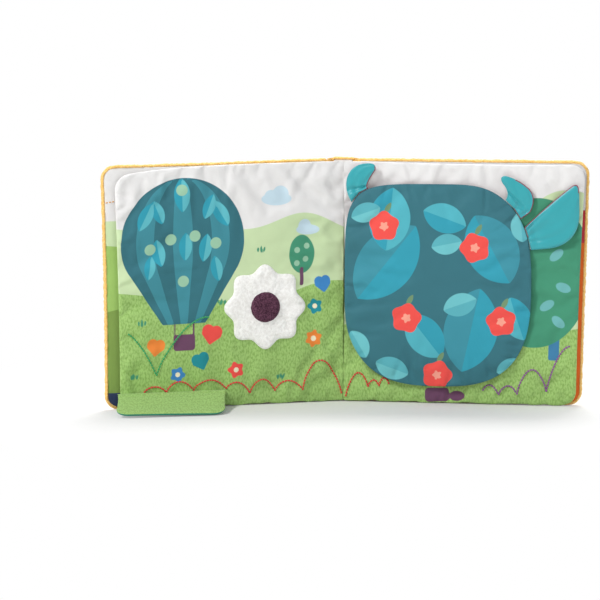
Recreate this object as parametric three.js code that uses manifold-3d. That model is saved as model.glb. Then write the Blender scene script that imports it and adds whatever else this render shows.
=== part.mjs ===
// Padded cloth activity book, standing open on its lower edges.
// Millimetres, +Z up. X runs across the spread and the reader sits towards -Y.
// The origin is the middle of the spine's flat foot.
import * as THREE from 'three';
import { mergeVertices } from 'three/addons/utils/BufferGeometryUtils.js';
import Module from 'manifold-3d';

const wasm = await Module();
wasm.setup();

// Covers
const COVER_HEIGHT = 241;
const COVER_WIDTH = 227;
const COVER_THICK = 9;
const COVER_EDGE_IN = 3;        // the cover's sewn edge, past its hinge line
const PLUSH = 1.2;              // cloth and backing of the outside
const LINING = 1.1;             // printed cloth of the inside
const LIP = 3;                  // how far the plush rolls on to the inside
const LIP_DROP = 1.3;           // the lip's edge, below the middle of the lining
const EDGE_BAND = 1.6;          // flat band all round the edge, which the book stands on

// Leaves
const LEAF_FOOT = 1;            // the leaves hang this far above the floor
const LEAF_LOWER = 2.5;         // their top edge than the cover's
const LEAF_HEIGHT = COVER_HEIGHT - LEAF_LOWER - LEAF_FOOT;
const LEAF_1_WIDTH = 227;
const LEAF_2_WIDTH = 230;
const LEAF_THICK = 7.5;
const LEAF_OVERHANG = 13;       // the leaf's inner edge, past the cover's hinge line
const PAGE_CLOTH = 0.8;

// The big flap on the right-hand page
const FLAP_FOOT = 18;           // above the floor
const FLAP_LOWER = 21.5;        // its top edge than the leaf's
const FLAP_HEIGHT = LEAF_FOOT + LEAF_HEIGHT - FLAP_LOWER - FLAP_FOOT;
const FLAP_WIDTH = 181.5;
const FLAP_THICK = 6.5;
const FLAP_EDGE_IN = 1;         // from the leaf's inner edge
const FLAP_SQUARENESS = 2.8;    // exponent of its rounded-square outline
const FLAP_SQUARE_CORNER = 2.2; // added to that at the upper inner corner

// Horns and ear, sewn into the flap's seam
const TAB_THICK = 3.2;
const TAB_RUN = 5;
const TAB_GAP = 0.6;            // from the flap's edge to a tab's root
const HORN_REACH = 36;
const SMALL_HORN_REACH = 32;
const EAR_REACH = 52;
const ROOT_STEPS = 5;

// The small flap that lies on the floor
const FLOOR_FLAP_WIDTH = 107;
const FLOOR_FLAP_LENGTH = 50;
const FLOOR_FLAP_SHORTER = 8;   // its outer side than its inner one
const FLOOR_FLAP_SKEW = 12;     // its front edge lies this far out from its fold
const FLOOR_FLAP_THICK = 4.5;
const FLOOR_FLAP_CLOTH = 0.7;
const FLOOR_FLAP_START = 106.5; // from the cover's hinge line
const FLOOR_FLAP_HINGE = 14;    // above the floor
const FLOOR_FLAP_ROOT = 2.2;    // cloth behind its fold

// Pieces inside the pages and on them
const SQUEAKER_R = 13;
const SQUEAKER_X = 66;
const SQUEAKER_Z = 97;
const FILM_THICK = 0.3;
const FILM_INSET = 25;
const FLOWER_R = 42;
const FLOWER_PETALS = 8;
const FLOWER_THICK = 2.2;
const FLOWER_CENTRE_R = 15;
const FLOWER_CENTRE_THICK = 3.5;

// Spine
const SPINE_THICK = 9;
const SPINE_CLEAR = 0.5;        // to each cover when both are folded right back
const SPINE_RECESS = 14.5;      // from the covers' hinge lines back to the spine
const HINGE_CLOTH = 0.8;

// How the book stands open
const FRONT_OPEN = 16;          // degrees that the left side comes forward
const BACK_OPEN = 9;            // degrees that the right side comes forward

// Sewing
const CORNER_R = 14;
const GUTTER_R = 3;             // corners beside the spine are nearly square
const CORNER_STEPS = 4;
const FRONT_DROOP = 7;          // how far the outer top corners lie lower than the spine
const BACK_DROOP = 1;
const LEAF_1_DROOP = 10;
const LEAF_2_DROOP = 2;
const SIDE_PULL = 1.2;          // the seams draw the sides in between the corners
const PANEL_RUN = 22;           // the swell of a panel rises over this width
const NARROW_RUN = 9;
const RIM = 0.15;               // half of the slit between two sewn cloths
const CLEAR = 0.3;              // between a cloth and its stuffing
const STACK_GAP = 0.4;          // between two panels that lie together
const CLOSED_SLACK = 1.35;      // on each side of the flap in the shut book

// Worked out from the sizes above
const STACK = COVER_THICK / 2 + STACK_GAP + LEAF_THICK;
const HINGE_X = STACK + FLAP_THICK / 2 + CLOSED_SLACK;
const HINGE_Y = -(SPINE_THICK / 2 + SPINE_RECESS);
const SPINE_WIDTH = 2 * (HINGE_X - COVER_THICK / 2 - SPINE_CLEAR);
const COVER_OUTER = COVER_WIDTH - COVER_EDGE_IN;
const LEAF_TOP = LEAF_FOOT + LEAF_HEIGHT;
const LEAF_MID = COVER_THICK / 2 + STACK_GAP + LEAF_THICK / 2;
const FLAP_INNER = FLAP_EDGE_IN - LEAF_OVERHANG;
const FLAP_X = FLAP_INNER + FLAP_WIDTH / 2;
const FLAP_Z = FLAP_FOOT + FLAP_HEIGHT / 2;
const FLAP_MID = LEAF_MID + (LEAF_THICK + FLAP_THICK) / 2 + STACK_GAP;
const FLOOR_FLAP_MID = LEAF_MID + (LEAF_THICK + FLOOR_FLAP_THICK) / 2 + STACK_GAP;

// Colours
const PLUSH_YELLOW = 0xefc268;
const WADDING = 0xf2efe6;
const SKY = 0xe4e4e6;
const MEADOW = 0x9cc873;
const PALE_GREEN = 0xc6dca6;
const ORANGE_RED = 0xd2552f;
const DEEP_TEAL = 0x3c7480;
const BRIGHT_TEAL = 0x2ba5ac;
const MAROON = 0x7d2f45;
const SEA_GREEN = 0x3c9c80;
const WHITE = 0xf4f2ea;
const PLUM = 0x4a2a3c;

const rad = THREE.MathUtils.degToRad;
const SWELL_SHARES = [0.12, 0.4, 1];
const swell = (share) => Math.sqrt(1 - (1 - share) ** 2);
const turnedOver = (steps) => steps.map(([inset, height]) => [inset, -height]);

const book = new THREE.Group();

// Adds a named piece to a group
function piece(group, name, geometry, color, roughness = 0.9) {
  const material = new THREE.MeshStandardMaterial({ color, roughness, metalness: 0 });
  const mesh = new THREE.Mesh(geometry, material);
  mesh.name = name;
  group.add(mesh);
  return mesh;
}

// Six times the volume, which is negative where the faces point inwards
function signedVolume(points, faces) {
  const [a, b, c] = [0, 1, 2].map(() => new THREE.Vector3());
  let sum = 0;
  for (let i = 0; i < faces.length; i += 3) {
    a.fromArray(points, 3 * faces[i]);
    b.fromArray(points, 3 * faces[i + 1]);
    c.fromArray(points, 3 * faces[i + 2]);
    sum += a.dot(b.cross(c));
  }
  return sum;
}

// A closed skin carried round an outline. Each step of the profile is [inset, height], and the
// first and last steps close in a flat cap. The outline lies in X and Z, and heights run along Y.
function carryRound(outline, profile) {
  const box = new THREE.Box2().setFromPoints(outline);
  const middle = box.getCenter(new THREE.Vector2());
  const half = box.getSize(new THREE.Vector2()).multiplyScalar(0.5);
  const count = outline.length;
  const points = [];
  for (const [inset, height] of profile) {
    for (const p of outline) {
      const x = middle.x + (p.x - middle.x) * (1 - inset / half.x);
      const z = middle.y + (p.y - middle.y) * (1 - inset / half.y);
      points.push(x, height, z);
    }
  }
  const last = profile.length - 1;
  const caps = [points.length / 3, points.length / 3 + 1];
  points.push(middle.x, profile[0][1], middle.y, middle.x, profile[last][1], middle.y);
  const faces = [];
  for (let i = 0; i < count; i++) {
    const j = (i + 1) % count;
    faces.push(caps[0], i, j, caps[1], last * count + j, last * count + i);
    for (let row = 0; row < last * count; row += count) {
      faces.push(row + i, row + count + i, row + j);
      faces.push(row + j, row + count + i, row + count + j);
    }
  }
  if (signedVolume(points, faces) < 0) faces.reverse();
  const geometry = new THREE.BufferGeometry();
  geometry.setAttribute('position', new THREE.Float32BufferAttribute(points, 3));
  geometry.setIndex(faces);
  return geometry;
}

// A sewn panel's outline: straight foot, rounded corners, sides drawn in between them.
// side is 1 where the panel runs along +X from its hinge and -1 where it runs along -X.
// The top comes down by droop at its outer end, and is moved outwards by skew.
function panelOutline(side, size) {
  const { inner, outer, foot, top, droop = 0, skew = 0, pull = SIDE_PULL } = size;
  const { round = CORNER_R, roundInner = round } = size;
  const corners = [
    [outer - round, foot + round, round, -90],
    [outer - round, top - round, round, 0],
    [inner + roundInner, top - roundInner, roundInner, 90],
    [inner + roundInner, foot + roundInner, roundInner, 180],
  ];
  const drawnIn = [
    [outer - pull, (foot + top) / 2],
    [(inner + outer) / 2, top - pull],
    [inner + pull, (foot + top) / 2],
  ];
  const points = [];
  corners.forEach(([x, z, r, start], corner) => {
    for (let i = 0; i <= CORNER_STEPS; i++) {
      const angle = rad(start + (90 * i) / CORNER_STEPS);
      points.push(new THREE.Vector2(x + r * Math.cos(angle), z + r * Math.sin(angle)));
    }
    if (corner < 3) points.push(new THREE.Vector2(...drawnIn[corner]));
  });
  for (const p of points) {
    const out = (p.x - inner) / (outer - inner);
    p.x += (skew * (p.y - foot)) / (top - foot);
    p.y = foot + (p.y - foot) * (1 - (droop * out) / (top - foot));
    p.x *= side;
  }
  return points;
}

// Steps of one stuffed face from the seam inwards: a quarter ellipse, or a skin that lies under it
function swollen(half, run, edge, under = 0) {
  const step = (share) => [share * run + under, edge + (half - edge) * swell(share) - under];
  return SWELL_SHARES.map(step);
}

// One of the two cloths of a stuffed panel, as an open tray with its rim at the seam
function clothTray(outline, thick, cloth, run) {
  const outside = swollen(thick / 2, run, RIM).reverse();
  const inside = swollen(thick / 2, run, RIM, cloth);
  return [...outside, [0, RIM], [cloth, RIM], ...inside];
}

// The stuffing between two cloth trays. taken is what else lies under the front cloth.
function stuffing(thick, cloth, run, taken = 0) {
  const under = cloth + CLEAR;
  const front = swollen(thick / 2, run, RIM, under).reverse();
  front[0][1] -= taken;
  const back = turnedOver(swollen(thick / 2, run, RIM, under));
  return [...front, [under + cloth, 0], ...back];
}

// The three pieces of a stuffed panel: front cloth, stuffing and back cloth
function stuffedPanel(group, outline, names, colors, { thick, cloth, run, taken }) {
  const tray = clothTray(outline, thick, cloth, run);
  piece(group, names[0], carryRound(outline, tray), colors[0]);
  piece(group, names[1], carryRound(outline, stuffing(thick, cloth, run, taken)), WADDING);
  piece(group, names[2], carryRound(outline, turnedOver(tray)), colors[1]);
}

// Steps of the lining from its seat inside the lip to its middle, or of a face that lies under it
function liningFace(half, run, under = 0) {
  const seat = LIP + STACK_GAP;
  const low = half - LIP_DROP;
  const bend = half - 0.4 * LIP_DROP;
  return [[seat, low - under], [(seat + run) / 2, bend - under], [run, half - under]];
}

// Steps of the plush where it rolls over the edge on to the inside
function rolledLip(half, under) {
  const high = half - LIP_DROP;
  const shoulder = [0.5 * LIP + 0.8 * under, 0.7 * high - 0.8 * under];
  const band = EDGE_BAND / 2 - 0.25 * under;
  return [[LIP, high - under], shoulder, [under, band], [under, -band]];
}

// The three pieces of a cover or spine: plush outside with its rolled edge, foam, and lining
function plushPanel(group, outline, name, thick, run, liningColor) {
  const half = thick / 2;
  const skin = (under) => turnedOver(swollen(half, run, EDGE_BAND / 2, under));
  const plush = [
    ...skin(0).reverse(),
    ...rolledLip(half, 0).reverse(),
    ...rolledLip(half, PLUSH),
    ...skin(PLUSH),
  ];
  const deep = PLUSH + CLEAR;
  const foam = [
    ...liningFace(half, run, LINING + CLEAR).reverse(),
    ...rolledLip(half, deep).slice(1),
    ...skin(deep),
  ];
  const lining = [...liningFace(half, run).reverse(), ...liningFace(half, run, LINING)];
  piece(group, `${name}_plush`, carryRound(outline, plush), PLUSH_YELLOW, 1);
  piece(group, `${name}_foam`, carryRound(outline, foam), WADDING);
  piece(group, `${name}_lining`, carryRound(outline, lining), liningColor);
}

// Cuts one closed shape out of another
function cutFrom(geometry, tool) {
  const solid = (shape) => {
    const bare = shape.clone();
    bare.deleteAttribute('normal');
    bare.deleteAttribute('uv');
    const merged = mergeVertices(bare, 1e-4);
    const vertProperties = merged.attributes.position.array;
    const triVerts = new Uint32Array(merged.index.array);
    return new wasm.Manifold(new wasm.Mesh({ numProp: 3, vertProperties, triVerts }));
  };
  const mesh = solid(geometry).subtract(solid(tool)).getMesh();
  const result = new THREE.BufferGeometry();
  result.setAttribute('position', new THREE.BufferAttribute(mesh.vertProperties, 3));
  result.setIndex(new THREE.BufferAttribute(mesh.triVerts, 1));
  return result;
}

// A group that stands at a cover's hinge line. Its Y points at the reader.
function side(x, turn) {
  const group = new THREE.Group();
  group.position.set(x, HINGE_Y, 0);
  group.rotation.z = rad(turn);
  book.add(group);
  return group;
}

// A group at a height over the middle of a cover's thickness
function layer(parent, y) {
  const group = new THREE.Group();
  group.position.y = y;
  parent.add(group);
  return group;
}

function addSpine() {
  const half = SPINE_WIDTH / 2;
  const size = { inner: -half, outer: half, foot: 0, top: COVER_HEIGHT, pull: 0, round: GUTTER_R };
  const group = new THREE.Group();
  group.rotation.z = Math.PI;
  book.add(group);
  plushPanel(group, panelOutline(1, size), 'spine', SPINE_THICK, NARROW_RUN, PALE_GREEN);
}

// The strip of outside cloth that runs on from the spine to a cover and folds with it.
// toward is 1 for the right side and -1 for the left.
function addHingeCloth(name, toward, open) {
  const half = HINGE_CLOTH / 2;
  const edge = COVER_EDGE_IN + half + CLEAR;
  const end = new THREE.Vector2(HINGE_X - edge * Math.cos(open), HINGE_Y + edge * Math.sin(open));
  const start = new THREE.Vector2(SPINE_WIDTH / 2 - CLEAR, -(EDGE_BAND / 2 + HINGE_CLOTH + CLEAR));
  const bend = new THREE.Vector2(start.x, (start.y + end.y) / 2);
  const line = [start, bend, end.setY(end.y + half)];
  const strip = [
    ...line.map((p) => new THREE.Vector2(toward * (p.x + half), p.y)),
    ...line.reverse().map((p) => new THREE.Vector2(toward * (p.x - half), p.y)),
  ];
  const height = COVER_HEIGHT - 2 * GUTTER_R;
  const geometry = new THREE.ExtrudeGeometry(new THREE.Shape(strip), { depth: height, bevelEnabled: false });
  piece(book, name, geometry.translate(0, 0, GUTTER_R), PLUSH_YELLOW, 1);
}

function addCover(group, along, name, droop, liningColor) {
  const size = { inner: -COVER_EDGE_IN, outer: COVER_OUTER, foot: 0, top: COVER_HEIGHT };
  const outline = panelOutline(along, { ...size, roundInner: GUTTER_R, droop });
  plushPanel(group, outline, name, COVER_THICK, PANEL_RUN, liningColor);
}

function addLeaf(group, along, name, { width, droop, taken }) {
  const size = { inner: -LEAF_OVERHANG, outer: width - LEAF_OVERHANG, foot: LEAF_FOOT, top: LEAF_TOP };
  const outline = panelOutline(along, { ...size, roundInner: GUTTER_R, droop });
  const names = [`${name}_front_cloth`, `${name}_batting`, `${name}_back_cloth`];
  const make = { thick: LEAF_THICK, cloth: PAGE_CLOTH, run: PANEL_RUN, taken };
  stuffedPanel(group, outline, names, [MEADOW, SKY], make);
  return outline;
}

// A round plastic squeaker in a pocket through the batting
function addSqueaker(group) {
  const half = LEAF_THICK / 2 - PAGE_CLOTH - CLEAR;
  const profile = [
    [0, -half], [SQUEAKER_R - 1.5, -half], [SQUEAKER_R, -half + 1.2], [SQUEAKER_R, half - 1.2],
    [SQUEAKER_R - 1.5, half], [SQUEAKER_R - 4, half], [SQUEAKER_R - 5, half - 0.8],
    [3, half - 0.8], [2.2, half], [0, half],
  ];
  const disc = new THREE.LatheGeometry(profile.map((p) => new THREE.Vector2(...p)), 20);
  const pocket = new THREE.CylinderGeometry(SQUEAKER_R + CLEAR, SQUEAKER_R + CLEAR, LEAF_THICK, 20);
  const at = [SQUEAKER_X, 0, SQUEAKER_Z];
  const batting = group.getObjectByName('leaf_1_batting');
  batting.geometry = cutFrom(batting.geometry, pocket.translate(...at));
  piece(group, 'squeaker', disc.translate(...at), WHITE, 0.4);
}

// A thin crackling film between the front cloth and the batting
function addFilm(group, outline) {
  const top = LEAF_THICK / 2 - PAGE_CLOTH - CLEAR;
  const steps = [[FILM_INSET, top], [FILM_INSET, top - FILM_THICK]];
  piece(group, 'crinkle_film', carryRound(outline, steps), SKY, 0.25);
}

// A round outline with petals: each point's radius swings between the petal and the notch
function petalOutline(x, z, radius, petals, depth, steps) {
  const points = [];
  for (let i = 0; i < steps; i++) {
    const angle = (2 * Math.PI * i) / steps;
    const r = radius * (1 - depth * Math.sin((petals * angle) / 2) ** 2);
    points.push(new THREE.Vector2(x + r * Math.cos(angle), z + r * Math.sin(angle)));
  }
  return points;
}

function addFlower(group) {
  const base = LEAF_THICK / 2 + CLEAR;
  const domed = (height, run, from) => [
    [run, from + height], [0.25 * run, from + 0.75 * height], [0, from + 0.3 * height], [0, from],
  ];
  const petals = petalOutline(SQUEAKER_X, SQUEAKER_Z, FLOWER_R, FLOWER_PETALS, 0.16, 48);
  piece(group, 'fleece_flower', carryRound(petals, domed(FLOWER_THICK, 4, base)), WHITE, 1);
  const round = petalOutline(SQUEAKER_X, SQUEAKER_Z, FLOWER_CENTRE_R, 1, 0, 18);
  const centre = domed(FLOWER_CENTRE_THICK, 8, base + FLOWER_THICK + CLEAR);
  piece(group, 'flower_centre', carryRound(round, centre), PLUM, 1);
}

// A point on the flap's edge, or just outside it, from the flap's centre: a superellipse whose
// upper inner corner is squarer than the rest
function flapEdge(degrees, outside = 0) {
  const angle = rad(degrees);
  const corner = Math.max(0, Math.cos(rad(degrees - 135))) ** 2;
  const power = 2 / (FLAP_SQUARENESS + FLAP_SQUARE_CORNER * corner);
  const along = (value, reach) => Math.sign(value) * reach * Math.abs(value) ** power;
  const x = along(Math.cos(angle), FLAP_WIDTH / 2 + outside);
  const z = along(Math.sin(angle), FLAP_HEIGHT / 2 + outside);
  return new THREE.Vector2(x, z);
}

// Moves an outline from the flap's centre to its place on a side that runs along -X
function onRightSide(points) {
  return points.map((p) => new THREE.Vector2(-(FLAP_X + p.x), FLAP_Z + p.y));
}

function addBigFlap(group) {
  const steps = 32;
  const outline = [];
  for (let i = 0; i < steps; i++) outline.push(flapEdge((360 * (i + 0.5)) / steps));
  const names = ['big_flap_front_cloth', 'big_flap_batting', 'big_flap_back_cloth'];
  const make = { thick: FLAP_THICK, cloth: PAGE_CLOTH, run: PANEL_RUN };
  stuffedPanel(group, onRightSide(outline), names, [DEEP_TEAL, MAROON], make);
}

// A cloth tab whose root follows the flap's edge from one angle to another. Its free edge is a run
// of curves. Their points are shares of its reach: along the root's chord, then straight out.
function addTab(group, name, { from, to, reach, freeEdge }) {
  const root = [];
  for (let i = 0; i <= ROOT_STEPS; i++) {
    root.push(flapEdge(from + ((to - from) * i) / ROOT_STEPS, TAB_GAP));
  }
  const [first, last] = [root[0], root[ROOT_STEPS]];
  const middle = first.clone().lerp(last, 0.5);
  const along = last.clone().sub(first).setLength(reach);
  const out = new THREE.Vector2(along.y, -along.x);
  const place = ([a, b]) => middle.clone().addScaledVector(along, a).addScaledVector(out, b);
  const shape = new THREE.Shape();
  shape.moveTo(last.x, last.y);
  for (const curve of freeEdge) {
    const numbers = curve.flatMap((share) => place(share).toArray());
    if (curve.length === 3) shape.bezierCurveTo(...numbers);
    else shape.quadraticCurveTo(...numbers);
  }
  const free = shape.getPoints(5).slice(1);
  const outline = onRightSide([...root, ...free]);
  const steps = [[TAB_RUN, TAB_THICK / 2], [0.3 * TAB_RUN, 0.35 * TAB_THICK], [0, RIM]];
  const front = [...steps, [TAB_RUN, RIM]];
  piece(group, `${name}_front`, carryRound(outline, front), BRIGHT_TEAL, 0.45);
  piece(group, `${name}_back`, carryRound(outline, turnedOver(front)), MAROON);
}

function addTabs(group) {
  const leftHorn = [
    [[0.27, 0.44], [-0.24, 0.96], [-0.74, 0.52]],
    [[-0.93, 0.38], [-0.76, 0.25]],
    [[-0.41, 0.17], [-0.3, 0.06]],
  ];
  const rightHorn = [
    [[0.45, 0.27], [0.83, 0.25]],
    [[1.09, 0.3], [0.93, 0.48]],
    [[0.54, 0.75], [0.16, 0.78]],
    [[-0.2, 0.77], [-0.38, 0.36]],
  ];
  const rightEar = [
    [[0.53, 0.53], [0.75, 1.04]],
    [[0.81, 1.2], [0.59, 1.14]],
    [[0.36, 1.09], [0.14, 1.03]],
    [[-0.35, 0.85], [-0.27, 0.3]],
  ];
  addTab(group, 'left_horn', { from: 119, to: 144, reach: HORN_REACH, freeEdge: leftHorn });
  addTab(group, 'right_horn', { from: 34, to: 52, reach: SMALL_HORN_REACH, freeEdge: rightHorn });
  addTab(group, 'right_ear', { from: 14, to: 28, reach: EAR_REACH, freeEdge: rightEar });
}

// The flap slopes from its fold down to the floor, which its lower cloth rests on
function addFloorFlap(parent) {
  const run = NARROW_RUN;
  const lowest = 0.4 * run;
  const drop = FLOOR_FLAP_HINGE - (FLOOR_FLAP_THICK / 2) * swell(0.4) - RIM;
  const slope = Math.asin(drop / (FLOOR_FLAP_LENGTH - lowest));
  const fold = layer(parent, FLOOR_FLAP_MID);
  fold.position.z = FLOOR_FLAP_HINGE;
  fold.rotation.x = -(Math.PI / 2 + slope);
  const size = {
    inner: FLOOR_FLAP_START,
    outer: FLOOR_FLAP_START + FLOOR_FLAP_WIDTH,
    foot: -FLOOR_FLAP_ROOT,
    top: FLOOR_FLAP_LENGTH,
    droop: FLOOR_FLAP_SHORTER,
    skew: FLOOR_FLAP_SKEW,
  };
  const names = ['floor_flap_under_cloth', 'floor_flap_padding', 'floor_flap_top_cloth'];
  const make = { thick: FLOOR_FLAP_THICK, cloth: FLOOR_FLAP_CLOTH, run };
  stuffedPanel(fold, panelOutline(1, size), names, [SEA_GREEN, MEADOW], make);
}

const frontSide = side(-HINGE_X, 180 + FRONT_OPEN);
const backSide = side(HINGE_X, 180 - BACK_OPEN);

addSpine();
addHingeCloth('front_hinge_cloth', -1, rad(FRONT_OPEN));
addHingeCloth('back_hinge_cloth', 1, rad(BACK_OPEN));
addCover(frontSide, 1, 'front_cover', FRONT_DROOP, PALE_GREEN);
addCover(backSide, -1, 'back_cover', BACK_DROOP, ORANGE_RED);

const leaf1 = layer(frontSide, LEAF_MID);
addLeaf(leaf1, 1, 'leaf_1', { width: LEAF_1_WIDTH, droop: LEAF_1_DROOP });
addSqueaker(leaf1);
addFlower(leaf1);
addFloorFlap(frontSide);

const leaf2 = layer(backSide, LEAF_MID);
const leaf2Size = { width: LEAF_2_WIDTH, droop: LEAF_2_DROOP, taken: FILM_THICK + CLEAR };
const leaf2Outline = addLeaf(leaf2, -1, 'leaf_2', leaf2Size);
addFilm(leaf2, leaf2Outline);

const flap = layer(backSide, FLAP_MID);
addBigFlap(flap);
addTabs(flap);

export default book;
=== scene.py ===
"""Padded cloth activity book, standing open on its lower edges.

Sizes are in millimetres until make_piece turns them to metres. Each side of the book has its own
sizes: u runs out from the cover's hinge line, n runs from the middle of the cover's thickness
towards the reader, and z runs up.
"""

import math
from functools import partial

import bpy
import numpy as np
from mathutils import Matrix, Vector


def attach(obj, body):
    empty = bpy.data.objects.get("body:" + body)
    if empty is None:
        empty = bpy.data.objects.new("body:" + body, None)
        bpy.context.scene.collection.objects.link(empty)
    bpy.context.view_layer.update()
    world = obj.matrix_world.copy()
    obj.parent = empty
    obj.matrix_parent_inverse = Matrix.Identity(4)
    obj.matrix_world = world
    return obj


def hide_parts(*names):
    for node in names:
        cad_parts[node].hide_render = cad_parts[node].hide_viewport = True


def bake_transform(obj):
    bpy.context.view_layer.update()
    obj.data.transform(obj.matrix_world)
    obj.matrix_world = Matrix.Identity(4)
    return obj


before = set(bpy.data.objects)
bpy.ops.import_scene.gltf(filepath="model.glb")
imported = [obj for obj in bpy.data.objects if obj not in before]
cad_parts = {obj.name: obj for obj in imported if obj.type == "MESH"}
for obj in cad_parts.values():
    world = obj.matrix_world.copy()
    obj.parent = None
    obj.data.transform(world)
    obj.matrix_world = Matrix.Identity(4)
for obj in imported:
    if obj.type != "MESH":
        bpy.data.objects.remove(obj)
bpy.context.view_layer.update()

MM = 0.001

# Where each side stands: its hinge line in X and Y, which way it runs, and how far it is turned
HINGE_X, HINGE_Y = 17.0, -19.0
LEFT = (-HINGE_X, HINGE_Y, -1, 16)
RIGHT = (HINGE_X, HINGE_Y, 1, 9)
SPINE = (0, 0, 1, 0)

# How a panel is cut and sewn where nothing else is said
SEWING = {"round": 14, "inner_round": 3, "foot_round": 1, "droop": 0, "bend": 1, "skew": 0,
          "slant": 0, "pull": 1.2}


def panel(inner, outer, foot, top, **sewing):
    """A sewn panel's outline. round and inner_round are the radii of its outer and inner corners,
    and foot_round is 1 where the foot's corners are round too. droop is how far its outer top
    corner comes down, and bend how late it does so; skew moves the top outwards, and slant the
    outer end of the foot inwards; pull draws the sides in between the corners."""
    return {"inner": inner, "outer": outer, "foot": foot, "top": top, **SEWING, **sewing}


# The panels, with the model's sizes. The leaves meet at the gutter, and the film lies in leaf 2.
LEFT_COVER = panel(-3, 224, 0, 241, droop=4, bend=1.6, skew=2.5)
RIGHT_COVER = panel(-3, 224, 0, 241, droop=1, slant=5, pull=0)
SPINE_PANEL = panel(-12, 12, 0, 241, round=3, pull=0)
LEAF_1 = panel(-15.6, 214.5, 1, 238.5, droop=12, bend=4, slant=4)
LEAF_2 = panel(-15.6, 220.2, 1, 238.5, droop=2, slant=6.5)
FLOOR_FLAP = panel(106.5, 213.5, -2.2, 50, inner_round=14, foot_round=0, droop=8, skew=12)
FILM = panel(12, 192, 26, 213.5, round=2, inner_round=2, pull=0)
# Half thicknesses, and how far the middle of each pad lies from the middle of its cover
COVER_HALF, LEAF_HALF, FLAP_HALF = 4.5, 3.75, 3.25
LEAF_MID, FLAP_MID, FLOOR_FLAP_MID = 8.65, 16.05, 15.05
# The big flap's middle, and how far it reaches across and up from there
FLAP_U, FLAP_Z = 78.75, 117.5
FLAP_REACH = (90.75, 99.5)
# The height of the floor flap's fold, and how many degrees it falls towards the floor
FLOOR_FLAP_HINGE, FLOOR_FLAP_SLOPE = 14, 15.05
# The fleece flower's middle on the left page
FLOWER_U, FLOWER_Z = 66, 97
# How far the plush rolls over on to the lining's side
LIP = 2.6
# The spacing of the points on pages and flap, and on the trial pads of the cloth simulation
PAGE_PITCH, TRIAL_PITCH = 1.7, 4.5
# The simulation's steps, the share by which its cloth is cut too large, and the deepest fold kept
CLOTH_STEPS, SPARE_CLOTH, FOLD_LIMIT = 18, 0.03, 2.0


# Meshes


def make_piece(name, points, faces, materials, body, groups=None, uv=None, prints=None, flip=False):
    """A mesh from points in millimetres and arrays of three- or four-cornered faces.

    groups gives each face's material, uv each point's own flat place in millimetres, and prints
    names the distances, one a point, that a material reads.
    """
    faces = [faces] if isinstance(faces, np.ndarray) else faces
    if flip:
        faces = [f[:, ::-1] for f in faces]
    corners = np.concatenate([f.ravel() for f in faces]).astype(np.int32)
    sizes = np.concatenate([np.full(len(f), f.shape[1]) for f in faces])
    mesh = bpy.data.meshes.new(name)
    mesh.vertices.add(len(points))
    mesh.vertices.foreach_set("co", (points * MM).astype(np.float32).ravel())
    mesh.loops.add(len(corners))
    mesh.loops.foreach_set("vertex_index", corners)
    mesh.polygons.add(len(sizes))
    mesh.polygons.foreach_set("loop_start", (np.cumsum(sizes) - sizes).astype(np.int32))
    mesh.update(calc_edges=True)
    mesh.polygons.foreach_set("use_smooth", np.ones(len(sizes), bool))
    for material in materials:
        mesh.materials.append(material)
    if groups is not None:
        mesh.polygons.foreach_set("material_index", groups.astype(np.int32))
    if uv is not None:
        layer = mesh.uv_layers.new(name="cut")
        layer.data.foreach_set("uv", (uv * MM)[corners].astype(np.float32).ravel())
    for key, values in (prints or {}).items():
        attribute = mesh.attributes.new(key, "FLOAT", "POINT")
        attribute.data.foreach_set("value", values.astype(np.float32).ravel())
    mesh.validate()
    piece = bpy.data.objects.new(name, mesh)
    bpy.context.scene.collection.objects.link(piece)
    if body:
        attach(piece, body)
    return piece


def quads(index):
    """The four-cornered faces of a grid of point numbers."""
    corners = [index[:-1, :-1], index[:-1, 1:], index[1:, 1:], index[1:, :-1]]
    return np.stack(corners, -1).reshape(-1, 4)


def inside_out(points, faces):
    """True where a closed skin's faces point inwards: six times its volume is then negative."""
    a, b, c = points[faces[:, 0]], points[faces[:, 1]], points[faces[:, 2]]
    d = points[faces[:, -1]]
    return (np.cross(a, b) * c).sum() + (np.cross(a, c) * d).sum() < 0


# Shapes on a side


def stand(side, u, n, z):
    """A side's own sizes turned to the book's: along the side, off it to the reader, and up."""
    x0, y0, way, turn = side
    c, s = math.cos(math.radians(turn)), math.sin(math.radians(turn))
    return np.stack([x0 + way * (u * c - n * s), y0 - u * s - n * c, z + 0 * u], -1)


def lay(u, n, z):
    """The floor flap's own sizes turned to the book's: z runs out from its fold and n up off it."""
    c, s = math.cos(math.radians(FLOOR_FLAP_SLOPE)), math.sin(math.radians(FLOOR_FLAP_SLOPE))
    return stand(LEFT, u, FLOOR_FLAP_MID + z * c + n * s, FLOOR_FLAP_HINGE - z * s + n * c)


def spaced(low, high, near, pitch):
    """Places from low to high: close together near both ends, as steps round an arc seen from the
    side, and a pitch apart between them."""
    rise = near * (1 - np.cos(np.radians(np.linspace(0, 90, 10)[:-1])))
    middle = np.linspace(low + near, high - near, 2 + int((high - low - 2 * near) / pitch))
    return np.concatenate([low + rise, middle, (high - rise)[::-1]])


def sides(size, z):
    """Where a rounded rectangle starts and ends at a height. A corner draws its side in by r less
    the root of r squared less the height into the corner squared."""
    def inset(r):
        """How far a side with corners of radius r is drawn in."""
        low, high = size["foot_round"] * (size["foot"] + r - z), z - size["top"] + r
        into = np.maximum(0, np.maximum(low, high))
        return r - np.sqrt(np.maximum(0, r * r - into * into))

    return size["inner"] + inset(size["inner_round"]), size["outer"] - inset(size["round"])


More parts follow.
